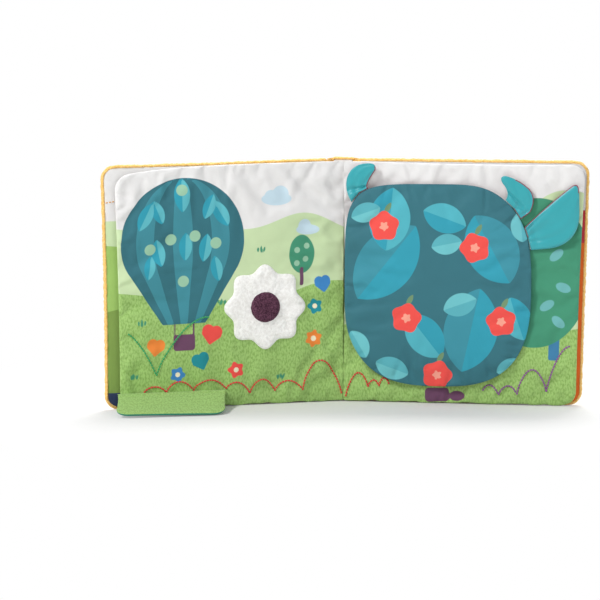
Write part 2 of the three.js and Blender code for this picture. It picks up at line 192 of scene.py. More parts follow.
def panel_grid(size, pitch):
    """Flat places on a rounded rectangle: rows run straight from one side to the other."""
    width = size["outer"] - size["inner"]
    shares = spaced(0, width, min(size["round"], width / 4), pitch) / width
    rows = spaced(size["foot"], size["top"], size["round"], pitch)
    start, end = sides(size, rows)
    u = start[:, None] + shares * (end - start)[:, None]
    return u, np.repeat(rows[:, None], len(shares), 1), (rows, shares)


def drawn_in(size, u, z):
    """The sewn outline: each side is drawn in by `pull` at its middle as a parabola. The top comes
    down by `droop` times the distance out to the power `bend`."""
    width, high = size["outer"] - size["inner"], size["top"] - size["foot"]
    out, up = (u - size["inner"]) / width, (z - size["foot"]) / high
    s, t = 2 * out - 1, 2 * up - 1
    u = u - size["pull"] * s * (1 - t * t) + size["skew"] * up - size["slant"] * out ** 3 * (1 - up)
    z = z - size["pull"] * np.maximum(t, 0) ** 3 * (1 - s * s)
    z = size["foot"] + (z - size["foot"]) * (1 - size["droop"] * out ** size["bend"] / high)
    return u, z


def rim(index):
    """A grid's edge all the way round, as one closed row."""
    return np.concatenate([index[0, :-1], index[:-1, -1], index[-1, :0:-1], index[:0:-1, 0]])


def seam_place(u, z):
    """Each grid point's distance from the seam, and how far along the seam its nearest point is.

    The seam is the grid's own edge. The nearest of its points is found first, a share of the grid
    at a time to save memory, and then the nearest place on the two stretches that meet there.
    """
    edge = np.stack([rim(u), rim(z)], -1)
    keep = np.concatenate([[True], np.hypot(*np.diff(edge, axis=0).T) > 1e-6])
    edge = edge[keep]
    steps = np.hypot(*(np.roll(edge, -1, 0) - edge).T)
    along = np.concatenate([[0], np.cumsum(steps)[:-1]])
    points = np.stack([u, z], -1).reshape(-1, 2)
    nearest = np.concatenate([
        ((part[:, None] - edge) ** 2).sum(-1).argmin(1) for part in np.array_split(points, 40)
    ])
    best, where = np.full(len(points), 1e9), np.zeros(len(points))
    for back in (0, 1):
        first = (nearest - back) % len(edge)
        a, b = edge[first], edge[(first + 1) % len(edge)]
        share = (((points - a) * (b - a)).sum(1) / ((b - a) ** 2).sum(1)).clip(0, 1)
        gap = np.hypot(*(a + (b - a) * share[:, None] - points).T)
        closer = gap < best
        where = np.where(closer, along[first] + share * steps[first], where)
        best = np.minimum(best, gap)
    best = best.reshape(u.shape)
    best[0] = best[-1] = 0
    best[:, 0] = best[:, -1] = 0
    return best, where.reshape(u.shape)


def noise(x, y, seed):
    """Smooth noise from -1 to 1: heights drawn at whole numbers, blended between by
    t * t * t * (t * (6 t - 15) + 10)."""
    table = np.random.default_rng(seed).uniform(-1, 1, (97, 89))
    i, j = np.floor(x).astype(int), np.floor(y).astype(int)
    s, t = x - i, y - j
    s, t = (v * v * v * (v * (6 * v - 15) + 10) for v in (s, t))
    low, high = (
        table[i % 97, k % 89] * (1 - s) + table[(i + 1) % 97, k % 89] * s for k in (j, j + 1)
    )
    return low * (1 - t) + high * t


def swell(gap, run):
    """A quarter ellipse from 0 at the seam to 1 at `run` from it."""
    return np.sqrt(1 - (1 - np.clip(gap / run, 0, 1)) ** 2)


def gathers(gap, along, pitch, reach, seed):
    """Folds that run inwards from a seam: twice the size of a noise that changes along the seam and
    hardly across it, so that creases are sharp and the cloth between them is round. They start
    just inside the seam and die away over `reach`."""
    lean = along + 0.35 * gap * noise(along / 37, gap / 60, seed + 1)
    wave = 2 * np.abs(noise(lean / pitch, gap / (5 * pitch), seed)) - 0.75
    small = np.abs(noise(lean / (0.45 * pitch), gap / (3 * pitch), seed + 2)) - 0.4
    fade = np.exp(-gap / reach) * (1 - np.exp(-gap / 1.4))
    return fade * wave + 0.5 * np.exp(-gap / (0.4 * reach)) * (1 - np.exp(-gap / 1.0)) * small


def tucks(gap, along, pitch, reach, depth, seed):
    """Narrow grooves that run in from a seam where the cloth was tucked as it was sewn. Each has
    its own place, lean, length and depth: a bell curve across, widening and fading inwards."""
    draw = np.random.default_rng(seed)
    total = np.zeros(gap.shape)
    for at in np.arange(pitch / 2, along.max(), pitch):
        shift, lean = draw.uniform(-0.35, 0.35) * pitch, draw.uniform(-0.6, 0.6)
        size = draw.uniform(0.4, 1)
        across = (along - at - shift - lean * gap) / (1.7 + 0.12 * gap)
        groove = np.exp(-across ** 2 - gap / (reach * size)) * (1 - np.exp(-gap / 1.2))
        total -= depth * size * groove
    return total


def sewn(name, place, u, z, front, back, materials, body, uv=None, prints=None):
    """A closed pad of two cloths that meet in a seam round the grid's edge. front and back are the
    heights of the two faces, and the seam lies half way between them."""
    index = np.arange(u.size).reshape(u.shape)
    under = index.copy()
    low_face = under[1:-1, 1:-1]
    low_face[:] = u.size + np.arange(low_face.size).reshape(low_face.shape)
    middle = (front + back) / 2
    face = middle.copy()
    face[1:-1, 1:-1] = front[1:-1, 1:-1]
    top = place(u, face, z).reshape(-1, 3)
    low = place(u, back, z)[1:-1, 1:-1].reshape(-1, 3)
    points = np.concatenate([top, low])
    faces = [quads(index), quads(under)[:, ::-1]]
    groups = np.concatenate([np.full(len(f), k) for k, f in enumerate(faces)])
    flat = np.stack(uv or (u, z), -1)
    flat = np.concatenate([flat.reshape(-1, 2), flat[1:-1, 1:-1].reshape(-1, 2)])
    prints = {
        key: np.concatenate([value.ravel(), value[1:-1, 1:-1].ravel()])
        for key, value in (prints or {}).items()
    }
    flip = inside_out(points, np.concatenate(faces))
    return make_piece(name, points, faces, materials, body, groups, flat, prints, flip)


# Stuffing, as a cloth simulation


def softened(values, times):
    """Each value becomes a quarter of its two neighbours' sum and half its own, along rows and then
    along columns, and this is done `times` over."""
    for _ in range(times):
        padded = np.pad(values, 1, mode="edge")
        values = (padded[:-2, 1:-1] + 2 * padded[1:-1, 1:-1] + padded[2:, 1:-1]) / 4
        padded = np.pad(values, 1, mode="edge")
        values = (padded[1:-1, :-2] + 2 * padded[1:-1, 1:-1] + padded[1:-1, 2:]) / 4
    return values


def blown_up(x, y, half, seed):
    """How far a pad's front stands up once it is stuffed. Its two cloths, cut too large and pinned
    along their seam, are blown up from inside, and the spare cloth folds at the seam."""
    gap, _ = seam_place(x, y)
    uneven = 0.15 * noise(x / 9, y / 9, seed) * np.minimum(gap / 9, 1)
    start = half * (0.5 * swell(gap, 16) + uneven)
    pad = sewn("trial_pad", lambda a, n, b: np.stack([a, n, b], -1), x, y, start, -start, [], None)
    number = np.arange(x.size).reshape(x.shape)
    pad.vertex_groups.new(name="seam").add(np.unique(rim(number)).tolist(), 1.0, "REPLACE")
    cloth = pad.modifiers.new("stuffing", "CLOTH")
    cloth.collision_settings.use_collision = False
    make = cloth.settings
    make.quality, make.mass = 5, 0.15
    make.tension_stiffness = make.compression_stiffness = 15
    make.shear_stiffness, make.bending_stiffness = 5, 0.02
    make.use_pressure, make.uniform_pressure_force = True, 3.0
    make.effector_weights.gravity = 0
    make.vertex_group_mass = "seam"
    make.shrink_min = -SPARE_CLOTH
    for step in range(1, CLOTH_STEPS + 1):
        bpy.context.scene.frame_set(step)
    shown = pad.evaluated_get(bpy.context.evaluated_depsgraph_get()).data
    points = np.empty(3 * len(shown.vertices))
    shown.vertices.foreach_get("co", points)
    bpy.data.objects.remove(pad)
    bpy.context.scene.frame_set(1)
    return points.reshape(-1, 3)[:x.size, 1].reshape(x.shape) / MM


def stuffing_folds(x, y, rows, columns, fine_rows, fine_columns, half, seed):
    """The folds alone, on the finer grid: the blown-up front less a softened copy of itself. Their
    size is capped by a hyperbolic tangent, and they die away at the seam."""
    front = blown_up(x, y, half, seed)
    gap, _ = seam_place(x, y)
    folds = (front - softened(front, 14)) * np.clip((gap - 1) / 8, 0, 1)
    folds = np.stack([np.interp(fine_columns, columns, row) for row in folds])
    folds = np.stack([np.interp(fine_rows, rows, column) for column in folds.T], 1)
    return FOLD_LIMIT * np.tanh(softened(folds, 2) / FOLD_LIMIT)


def page_stuffing(size, rows, shares, seed):
    """The folds of a page, worked out on an even, coarser grid."""
    across = np.linspace(0, 1, int((size["outer"] - size["inner"]) / TRIAL_PITCH))
    up = np.linspace(size["foot"], size["top"], int((size["top"] - size["foot"]) / TRIAL_PITCH))
    start, end = sides(size, up)
    u = start[:, None] + across * (end - start)[:, None]
    z = np.repeat(up[:, None], len(across), 1)
    return stuffing_folds(u, z, up, across, rows, shares, LEAF_HALF, seed)


# Printed motifs. Each is a distance in millimetres, above zero inside the motif.


def disc(x, y, cx, cy, r):
    """r less the distance from the middle."""
    return r - np.hypot(x - cx, y - cy)


def turned(x, y, cx, cy, turn):
    """Places seen from cx, cy: along a line at `turn` degrees, and to its left."""
    c, s = math.cos(math.radians(turn)), math.sin(math.radians(turn))
    return (x - cx) * c + (y - cy) * s, (y - cy) * c - (x - cx) * s


def oval(x, y, cx, cy, a, b, turn=0):
    """One less the scaled distance from the middle, times the shorter half width."""
    p, q = turned(x, y, cx, cy, turn)
    return (1 - np.hypot(p / a, q / b)) * min(a, b)


def petal(x, y, cx, cy, length, width, turn=0):
    """A pointed leaf: the part that two equal discs share. It starts at cx, cy and runs out at
    `turn` degrees. Also gives the distance to one side of its midrib."""
    p, q = turned(x, y, cx, cy, turn)
    p = p - length / 2
    r = (length * length / 4 + width * width / 4) / width
    off = r - width / 2
    return np.minimum(r - np.hypot(p, q - off), r - np.hypot(p, q + off)), q


def rounded_flower(x, y, cx, cy, r, petals, depth, turn=0):
    """The radius swings between the petal and the notch, and the distance from the middle is
    taken off it."""
    angle = np.arctan2(y - cy, x - cx) + math.radians(turn)
    return r * (1 - depth * np.sin(petals * angle / 2) ** 2) - np.hypot(x - cx, y - cy)


def heart(x, y, cx, cy, size, turn=0):
    """Two discs, and below them the wedge between the lines that touch both, seen as one side
    because the heart is the same on both sides of its middle line."""
    p, q = turned(x, y, cx, cy, turn)
    p, q = np.abs(p) / size, q / size
    lobe = 0.36 - np.hypot(p - 0.25, q - 0.2)
    wedge = np.minimum(0.72 * (q + 0.62) - 0.69 * p, np.minimum(0.2 - q + 0.12, 0.6 - p))
    return np.maximum(lobe, wedge) * size


def block(x, y, cx, cy, a, b, r):
    """A rounded rectangle of half widths a and b: r less the distance from the one that is r
    smaller all round."""
    p, q = np.abs(x - cx) - a + r, np.abs(y - cy) - b + r
    return r - np.hypot(np.maximum(p, 0), np.maximum(q, 0)) - np.minimum(np.maximum(p, q), 0)


def any_of(*parts):
    """Inside any of the motifs."""
    return np.maximum.reduce(parts)


def both_of(*parts):
    """Inside all of the motifs."""
    return np.minimum.reduce(parts)


# Materials


def linear(code):
    """An sRGB hex colour as linear red, green, blue and alpha."""
    part = np.array([int(code[i:i + 2], 16) for i in (1, 3, 5)]) / 255
    return (*np.where(part <= 0.04045, part / 12.92, ((part + 0.055) / 1.055) ** 2.4), 1.0)


def add(tree, kind, inputs=None, out=0, **settings):
    """Adds a node with its settings and gives one of its outputs. Each input is a value, or another
    node's output to link."""
    node = tree.nodes.new("ShaderNode" + kind)
    for key, value in settings.items():
        setattr(node, key, value)
    for key, value in (inputs or {}).items():
        if isinstance(value, bpy.types.NodeSocket):
            tree.links.new(value, node.inputs[key])
        else:
            node.inputs[key].default_value = value
    return node.outputs[out]


def finish_named(name, **surface):
    """A material with one shader, whose plain values are set on its own sockets."""
    material = bpy.data.materials.new(name)
    material.use_nodes = True
    tree = material.node_tree
    shader = tree.nodes["Principled BSDF"]
    for key, value in surface.items():
        shader.inputs[key.replace("_", " ")].default_value = value
    return material, tree, shader


def per_metre(size):
    """The scale of a pattern whose parts are `size` millimetres wide."""
    return 1 / (size * MM)


def woven(tree, place, thread):
    """The height of a plain weave: two sets of ridges, one across the other, with a little fuzz.
    Blender's bands repeat every 2 pi / 20 of the scaled place, so the scale is that over the
    thread spacing."""
    ridges = {"Vector": place, "Scale": math.tau / 20 * per_metre(thread), "Distortion": 0.4,
              "Detail": 1.0}
    weft, warp = (add(tree, "TexWave", ridges, "Fac", bands_direction=way) for way in ("X", "Y"))
    weave = add(tree, "Math", {0: weft, 1: warp}, operation="MULTIPLY")
    fuzz = {"Vector": place, "Scale": per_metre(1.7), "Detail": 3.0}
    fuzz = add(tree, "TexNoise", fuzz, "Fac")
    return add(tree, "Math", {0: fuzz, 1: 0.8, 2: weave}, operation="MULTIPLY_ADD")


def printed(name, ground, layers, thread=1.1, depth=0.22, speckle=None, **surface):
    """Printed cloth. Each layer is the print whose distance it reads, and its colour, and it covers
    those before it. speckle names the layers with a fine upright grain, and its darker colour.
    Real threads lie about 0.3 mm apart, which is too fine to show, so they are drawn coarser."""
    cotton = {"Roughness": 0.82, "Sheen_Weight": 0.18, "Sheen_Roughness": 0.45,
              "Specular_IOR_Level": 0.3}
    material, tree, shader = finish_named(name, **{**cotton, **surface})
    place = add(tree, "UVMap", uv_map="cut")
    if speckle:
        upright = {"Vector": place, "Rotation": (0, 0, 0.3), "Scale": (1, 0.5, 1)}
        grain = {"Vector": add(tree, "Mapping", upright), "Scale": per_metre(1.6), "Detail": 1.0}
        grain = add(tree, "TexNoise", grain, "Fac")
        strokes = add(tree, "MapRange", {"Value": grain, "From Min": 0.40, "From Max": 0.66})
    colour = linear(ground)
    for key, code in layers:
        own = linear(code)
        if speckle and key in speckle:
            inked = {0: strokes, 6: own, 7: linear(speckle[key])}
            own = add(tree, "Mix", inked, 2, data_type="RGBA")
        distance = add(tree, "Attribute", out="Fac", attribute_name=key)
        share = add(tree, "MapRange", {"Value": distance, "From Min": -0.25, "From Max": 0.25})
        colour = add(tree, "Mix", {0: share, 6: colour, 7: own}, 2, data_type="RGBA")
    blotch = {"Vector": place, "Scale": per_metre(24), "Detail": 4.0}
    tone = {"Value": add(tree, "TexNoise", blotch, "Fac"), "From Min": 0.3, "From Max": 0.7,
            "To Min": 0.955}
    colour = {0: 1.0, 6: colour, 7: add(tree, "MapRange", tone)}
    colour = add(tree, "Mix", colour, 2, data_type="RGBA", blend_type="MULTIPLY")
    weave = {"Strength": 0.55, "Distance": depth * MM, "Height": woven(tree, place, thread)}
    tree.links.new(colour, shader.inputs["Base Color"])
    tree.links.new(add(tree, "Bump", weave), shader.inputs["Normal"])
    return material


def piled(name, light, dark, curl, depth):
    """Pile cloth: two tones that follow the tufts, and the tufts' own height. The darker tone in
    the hollows is painted shade and the lighter one on the tufts' tops painted light, with a broad
    random change. curl is how wide the tufts are and depth how high, in millimetres."""
    material, tree, shader = finish_named(
        name, Roughness=0.95, Specular_IOR_Level=0.15,
        Sheen_Weight=0.35, Sheen_Roughness=0.6, Sheen_Tint=linear(light))
    place = add(tree, "TexCoord", out="Object")
    tufts = {"Vector": place, "Scale": per_metre(curl), "Detail": 3.0, "Roughness": 0.65}
    tufts = add(tree, "TexNoise", tufts, "Fac")
    broad = add(tree, "TexNoise", {"Vector": place, "Scale": per_metre(9), "Detail": 2.0}, "Fac")
    total = add(tree, "Math", {0: broad, 1: 0.2, 2: tufts}, operation="MULTIPLY_ADD")
    # Darker where the tufts are low: painted shade in the hollows, and painted light on the tops
    share = add(tree, "MapRange", {"Value": total, "From Min": 0.47, "From Max": 0.72})
    colour = {0: share, 6: linear(dark), 7: linear(light)}
    pile = {"Strength": 0.8, "Distance": depth * MM, "Height": tufts}
    tree.links.new(add(tree, "Mix", colour, 2, data_type="RGBA"), shader.inputs["Base Color"])
    tree.links.new(add(tree, "Bump", pile), shader.inputs["Normal"])
    return material


def twisted(name, code):
    """Embroidery thread: a soft gloss, and ridges where its strands turn. The colour follows the
    ridges: darker in the grooves as painted shade and lighter on the tops as painted light. They
    are drawn at 0.6 mm, twice their real width, so that they show."""
    material, tree, shader = finish_named(
        name, Roughness=0.5, Sheen_Weight=0.3, Specular_IOR_Level=0.4)
    place = add(tree, "TexCoord", out="Object")
    strands = {"Vector": place, "Scale": per_metre(0.6), "Detail": 2.0}
    strands = add(tree, "TexNoise", strands, "Fac")
    # Painted shade in the grooves between the strands, and painted light on their tops
    tone = {"Value": strands, "From Min": 0.35, "From Max": 0.65, "To Min": 0.75, "To Max": 1.1}
    colour = {0: 1.0, 6: linear(code), 7: add(tree, "MapRange", tone)}
    colour = add(tree, "Mix", colour, 2, data_type="RGBA", blend_type="MULTIPLY")
    ridges = {"Strength": 0.5, "Distance": 0.15 * MM, "Height": strands}
    tree.links.new(colour, shader.inputs["Base Color"])
    tree.links.new(add(tree, "Bump", ridges), shader.inputs["Normal"])
    return material


def plastic(name, code, roughness, pitch, depth):
    """Smooth plastic with shallow dents at a pitch in millimetres."""
    material, tree, shader = finish_named(name, Roughness=roughness, Base_Color=linear(code))
    place = add(tree, "TexCoord", out="Object")
    dents = add(tree, "TexNoise", {"Vector": place, "Scale": per_metre(pitch)}, "Fac")
    dents = {"Strength": 0.4, "Distance": depth * MM, "Height": dents}
    tree.links.new(add(tree, "Bump", dents), shader.inputs["Normal"])
    return material


SKY, PALE_GREEN, MEADOW = "#E6E5E4", "#C9DEAF", "#A4C976"
# The meadow's print has a darker grain
GRAIN = {"meadow": "#88AE5A"}
DEEP_TEAL, CYAN, LIGHT_CYAN, MID_TEAL = "#336F7B", "#2E9BB1", "#5DB7C2", "#3F8B99"
PLUM, PALE_JADE, LEAF_GREEN, CLOUD = "#6C4562", "#9AC6A8", "#439373", "#C5DCE8"
CORAL, ORANGE, BLUE, CREAM = "#EF5049", "#F0893A", "#3D86C6", "#F3E9C8"
# The plush's second yellow is painted shade for the hollows of its pile
YELLOW, YELLOW_PAINTED_SHADE, MAROON, SEA_GREEN = "#F8D086", "#EDB962", "#7D2C43", "#369277"
CRIMSON, NAVY, RUST = "#B3333F", "#2C3B5C", "#DF6824"

# Cotton and polyester plush with a looped pile of about 2 mm: matt, with the tufts' tops painted
# lighter and painted deeper yellow shade in the hollows
plush = piled("plush_yellow", YELLOW, YELLOW_PAINTED_SHADE, 2.2, 1.6)
# Brushed polyester fleece, curled: white, with painted soft grey shade in its hollows
fleece = piled("fleece_white", "#FCFBF8", "#ECEAE6", 2.6, 1.4)
# Long-haired pile cloth in plum, for the flower's middle: fine tufts with painted dark shade in the
# hollows between them
shag = piled("shag_plum", "#6A4457", "#331A29", 1.3, 1.0)

# Twisted polyester embroidery thread: a soft gloss on a full colour, with painted shade between the
# strands and painted light on their tops
threads = {key: twisted(f"thread_{key}", code) for key, code in [
    ("red", "#DE3830"), ("plum", "#93569A"), ("green", "#2CA35C"), ("orange", "#E5A03C"),
]}
# Moulded polyethylene: matt, with faint dents
squeaker_plastic = plastic("polyethylene_squeaker", "#ECEAE2", 0.4, 1.5, 0.1)
# Thin polyester film: glossy, and creased all over
film_plastic = plastic("polyester_film", "#DDE3E6", 0.15, 6, 0.6)


# Pages


def smooth_step(x, low, high):
    """0 below low, 1 above high, and t * t * (3 - 2 t) between."""
    t = np.clip((x - low) / (high - low), 0, 1)
    return t * t * (3 - 2 * t)


def balloon_prints(u, z, cx, cy, r):
    """A striped balloon with leaves and dots: a disc, below whose sides straight ones run in to the
    basket. The places of its leaves and dots are set off from the disc's middle."""
    y = z - cy
    waist = -0.45 * r
    round_part = np.sqrt(np.maximum(0, r * r - y * y))
    wide = np.where(y > waist, round_part, 0.893 * r - 0.62 * (waist - y))
    lower = both_of(wide - np.abs(u - cx), y + 1.32 * r)
    envelope = np.where(y > 0, disc(u, z, cx, cy, r), lower)
    share = np.abs(u - cx) / np.maximum(wide, 1)
    gores = any_of(0.16 - share, both_of(share - 0.47, 0.76 - share)) * wide
    leaves = [petal(u, z, cx + a, cy + b, length, 0.46 * length, turn) for a, b, length, turn in [
        (-46, 12, 30, 60), (-20, -22, 28, 100), (-36, -42, 26, 80), (0, 28, 34, 90),
        (22, -24, 28, 80), (44, 14, 30, 118), (-2, -20, 28, 92), (20, 18, 26, 70),
        (-22, 20, 26, 112), (36, -36, 24, 100),
    ]]
    dots = [(-33, -4), (33, -6), (12, 2), (-12, 4), (0, -40), (0, 50)]
    ropes = [
        block(u + way * y * 0.02, z, cx + way * 8, cy - 1.44 * r, 0.9, 9, 0.5) for way in (-1, 1)
    ]
    return {
        "balloon": envelope, "gores": both_of(envelope, gores),
        "leaves": both_of(envelope - 1.5, any_of(*[shape for shape, _ in leaves])),
        "light": both_of(envelope - 1.5, any_of(*[both_of(*leaf) for leaf in leaves])),
        "dots": any_of(*[disc(u, z, cx + a, cy + b, 5.6) for a, b in dots]),
        "plum": any_of(block(u, z, cx, cy - 1.62 * r, 11, 8, 3), *ropes),
    }


def left_prints(u, z):
    """The left page: rolling hills under a pale sky, a balloon, a tree, hearts and flowers. Each
    flower is its place, radius, petals and turn, and the radius of its cream middle."""
    flowers = {"red": (96, 36, 8.5, 5, 0, 2.6), "teal": (14, 96, 8, 5, 0, 2.5),
               "orange": (16, 64, 9, 6, 20, 2.8), "blue": (156, 34, 8, 5, 30, 2.5)}
    hearts = {"red": (121, 72, 17, 12), "teal": (132, 46, 15, -18),
              "orange": (178, 62, 15, 10), "blue": (6, 118, 14, -8)}
    prints = balloon_prints(u, z, 149, 166, 62)
    for key, (a, b, r, petals, turn, _) in flowers.items():
        flower = rounded_flower(u, z, a, b, r, petals, 0.3, turn)
        prints[key] = any_of(flower, heart(u, z, *hearts[key]))
    middles = [disc(u, z, a, b, r) for a, b, _, _, _, r in flowers.values()]
    clouds = [oval(u, z, 54, 203, 15, 6.5), disc(u, z, 50, 208, 8), disc(u, z, 60, 206, 6),
              oval(u, z, 22, 172, 12, 5), disc(u, z, 25, 176, 6.5)]
    tufts = [
        petal(u, z, a + 2.2 * k, b, 8 - abs(k), 2.2, 90 - 16 * k)[0]
        for a, b in [(50, 24), (192, 84), (110, 100), (200, 30), (70, 150)] for k in (-1, 0, 1)
    ]
    spots = [disc(u, z, 28 + a, 148 + b, 3) for a, b in [(-5, 8), (5, 4), (-4, -5), (5, -9)]]
    return {
        **prints,
        "pale": 176 + 9 * np.sin(u / 34 + 0.6) + 4 * np.sin(u / 15) - z,
        "meadow": 112 + 9 * np.sin(u / 41 + 2.4) + 3 * np.sin(u / 19 + 1) - z,
        "cloud": any_of(*clouds), "bush": oval(u, z, 28, 148, 13, 19), "spots": any_of(*spots),
        "tufts": any_of(*tufts), "middles": any_of(*middles),
        "plum": any_of(prints["plum"], block(u, z, 28, 126, 1.9, 9, 1)),
    }


def right_prints(u, z):
    """The right page: sky over a far hill, a big round bush behind the flap, and a meadow."""
    spots = [oval(u, z, a, b, 8, 4.5, turn) for a, b, turn in [
        (196, 150, 40), (204, 118, -20), (188, 100, 30),
        (200, 84, -40), (182, 188, 20), (206, 176, 60),
    ]]
    far = 150 + 30 * smooth_step(u, 90, 190) + 6 * np.sin(u / 23)
    return {
        "far": any_of(far - z, disc(u, z, 205, 172, 42)),
        "meadow": 72 + 7 * np.sin(u / 37 + 1.2) - z,
        "bush": both_of(oval(u, z, 176, 132, 56, 74), z - 58), "spots": any_of(*spots),
        "blue": block(u, z, 196, 60, 5.5, 14, 2),
        "plum": any_of(block(u, z, 78, 9, 12, 7, 4), oval(u, z, 98, 8, 8, 5)),
    }


# Plain-woven cotton, printed: matt and flat, with a weave that breaks up the light a little
left_cotton = printed("printed_cotton_left_page", SKY, [
    ("pale", PALE_GREEN), ("meadow", MEADOW), ("cloud", CLOUD), ("bush", LEAF_GREEN),
    ("spots", PALE_JADE), ("tufts", LEAF_GREEN), ("plum", PLUM), ("balloon", DEEP_TEAL),
    ("gores", MID_TEAL), ("leaves", CYAN), ("light", LIGHT_CYAN), ("dots", PALE_JADE),
    ("red", CORAL), ("teal", "#1F8E9A"), ("orange", ORANGE), ("blue", BLUE), ("middles", CREAM),
], speckle=GRAIN)
right_cotton = printed("printed_cotton_right_page", SKY, [
    ("far", PALE_GREEN), ("meadow", MEADOW), ("blue", "#3F7FA8"), ("bush", LEAF_GREEN),
    ("spots", "#6FB5B4"), ("plum", PLUM),
], speckle=GRAIN)
# The pages' backs are plain cotton in the sky's pale grey
leaf_back = printed("cotton_pale_grey", SKY, [])


def gutter_folds(u, z):
    """Upright folds near the gutter: bell curves across, each given as its height, place, width and
    lean. They swell and sink along the page."""
    near = 0
    for high, at, width, lean in [
        (0.9, 6, 7, 0.03), (-0.8, 19, 6, 0.05), (0.7, 33, 8, 0.02), (-0.5, 50, 9, -0.03),
    ]:
        near = near + high * np.exp(-((u - at - lean * (z - 118)) / width) ** 2)
    return near * (0.7 + 0.3 * np.sin(z / 31))


def below(height, limit):
    """Keeps a height under a limit, smoothly: the limit less half the sum of the room that is left
    and the root of its square and a quarter."""
    room = limit - height
    return limit - (room + np.sqrt(room * room + 0.25)) / 2


def page_faces(size, u, z, stuffing, seed):
    """The two faces of a stuffed page, above its middle. They rise steeply from the seam and go on
    rising slowly, with the folds of the stuffing, gathers and tucks along the seam and broad soft
    swells. Beside the gutter the seam lies nearer the reader, and the front rises over a wider
    strip, because the page bends into it. Under the flower the front is held smooth."""
    gap, along = seam_place(u, z)
    body = 0.68 * swell(gap, 7) + 0.12 * swell(gap, 45)
    broad = 0.5 * noise(u / 46, z / 58, seed) + 0.35 * noise(u / 19, z / 26, seed + 5)
    inner = smooth_step(gap, 1, 18)
    bent = smooth_step(u - size["inner"], 0, 26)
    relief = 1.6 * stuffing + 1.1 * gathers(gap, along, 14, 13, seed)
    relief = relief + tucks(gap, along, 19, 15, 2.0, seed + 3)
    relief = relief + inner * (broad + 1.1 * gutter_folds(u, z))
    edge = 2.5 * (1 - bent)
    front = edge + LEAF_HALF * body * (0.15 + 0.85 * bent) + relief
    front = front + smooth_step(-np.hypot(u - FLOWER_U, z - FLOWER_Z), -34, -16) * (3.3 - front)
    front = np.maximum(below(front, LEAF_HALF + 0.8), 0.1 * LEAF_HALF * body)
    back = LEAF_HALF * body + 0.5 * gathers(gap, along, 14, 10, seed + 9) + 0.3 * inner * broad
    return front, np.minimum(back, LEAF_HALF) - edge * (1 - smooth_step(gap, 0, 3))


# The front points of each page and lining, its grid's rows and shares, and its outline
pads = {}


def add_leaf(body, side, size, front_cloth, prints, seed):
    """A page as one pad of two cloths. Its foot wavers a little, except near the gutter."""
    u, z, steps = panel_grid(size, PAGE_PITCH)
    rise, fall = page_faces(size, u, z, page_stuffing(size, *steps, seed), seed)
    du, dz = drawn_in(size, u, z)
    foot = (1 - smooth_step(z, 1, 9)) * smooth_step(u, -8, 8)
    dz = dz + 0.7 * noise(u / 7, 0 * u, seed + 7) * foot
    front, back = LEAF_MID + rise, LEAF_MID - fall
    name = f"{body}_pad"
    pad = sewn(name, partial(stand, side), du, dz, front, back, [front_cloth, leaf_back],
               body, (u, z), prints(u, z))
    pads[name] = (stand(side, du, front, dz), steps, size)
    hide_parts(f"{body}_front_cloth", f"{body}_batting", f"{body}_back_cloth")


add_leaf("leaf_1", LEFT, LEAF_1, left_cotton, left_prints, 11)
add_leaf("leaf_2", RIGHT, LEAF_2, right_cotton, right_prints, 23)


# The big flap


def flap_power(angle):
    """The power of the flap's superellipse, which is higher round its upper inner corner and so
    makes it squarer."""
    return 2.8 + 2.2 * np.maximum(0, np.cos(angle - math.radians(135))) ** 2


def flap_edge(angle):
    """The flap's radius at an angle from its middle: a superellipse, one over the p-th root of
    |cos / a| to the p plus |sin / b| to the p."""
    a, b = FLAP_REACH
    p = flap_power(angle)
    return (np.abs(np.cos(angle) / a) ** p + np.abs(np.sin(angle) / b) ** p) ** (-1 / p)


def flap_grid(side):
    """Flat places on the flap: each ring of a square grid is drawn out to the flap's outline."""
    a, b = FLAP_REACH
    s, t = np.meshgrid(side, side)
    ring = np.maximum(np.abs(s), np.abs(t))
    angle = np.arctan2(t * b, s * a)
    reach = ring * flap_edge(angle)
    return reach * np.cos(angle), reach * np.sin(angle)


def flap_prints(x, y):
    """The flap's cloth: large and small pointed leaves, each in two tones along its midrib, with
    round coral blossoms between them. Each leaf is where its stalk is, its length, width and turn,
    and its tone: 0 mid cyan, 1 light and 2 palest."""
    tones, halves = [[], [], []], [[], [], []]
    for cx, cy, length, width, turn, tone in [
        (-78, -14, 92, 54, 52, 0), (24, -84, 84, 52, 78, 0), (70, 4, 74, 50, 118, 0),
        (-50, 34, 62, 40, 84, 1), (4, -70, 52, 34, 128, 1), (84, -52, 44, 28, 108, 1),
        (-14, 74, 44, 28, 340, 1), (-84, 66, 30, 19, 20, 2), (38, -12, 34, 22, 200, 2),
        (-28, -88, 34, 22, 160, 2), (82, 44, 30, 20, 96, 2), (-84, -46, 30, 20, 300, 2),
        (-6, 38, 30, 20, 12, 2), (58, -84, 28, 18, 20, 2),
    ]:
        shape, rib = petal(x, y, cx, cy, length, width, turn)
        tones[tone].append(shape)
        halves[tone].append(both_of(shape, rib if turn % 180 < 90 else -rib))
    blossoms = [(-52, 58), (36, 38), (-30, -32), (62, -34), (0, -88)]
    coral = any_of(*[rounded_flower(x, y, a, b, 15, 5, 0.16, 17 * a) for a, b in blossoms])
    hearts = any_of(*[rounded_flower(x, y, a, b, 5, 5, 0.4, 17 * a + 36) for a, b in blossoms])
    stalks = any_of(*[petal(x, y, a, b + 12, 13, 5, 60)[0] for a, b in blossoms])
    names = ("cyan", "cyan_half", "light", "light_half", "pale", "pale_half")
    shapes = [any_of(*part) for pair in zip(tones, halves) for part in pair]
    return {**dict(zip(names, shapes)), "coral": coral, "hearts": hearts, "stalks": stalks}


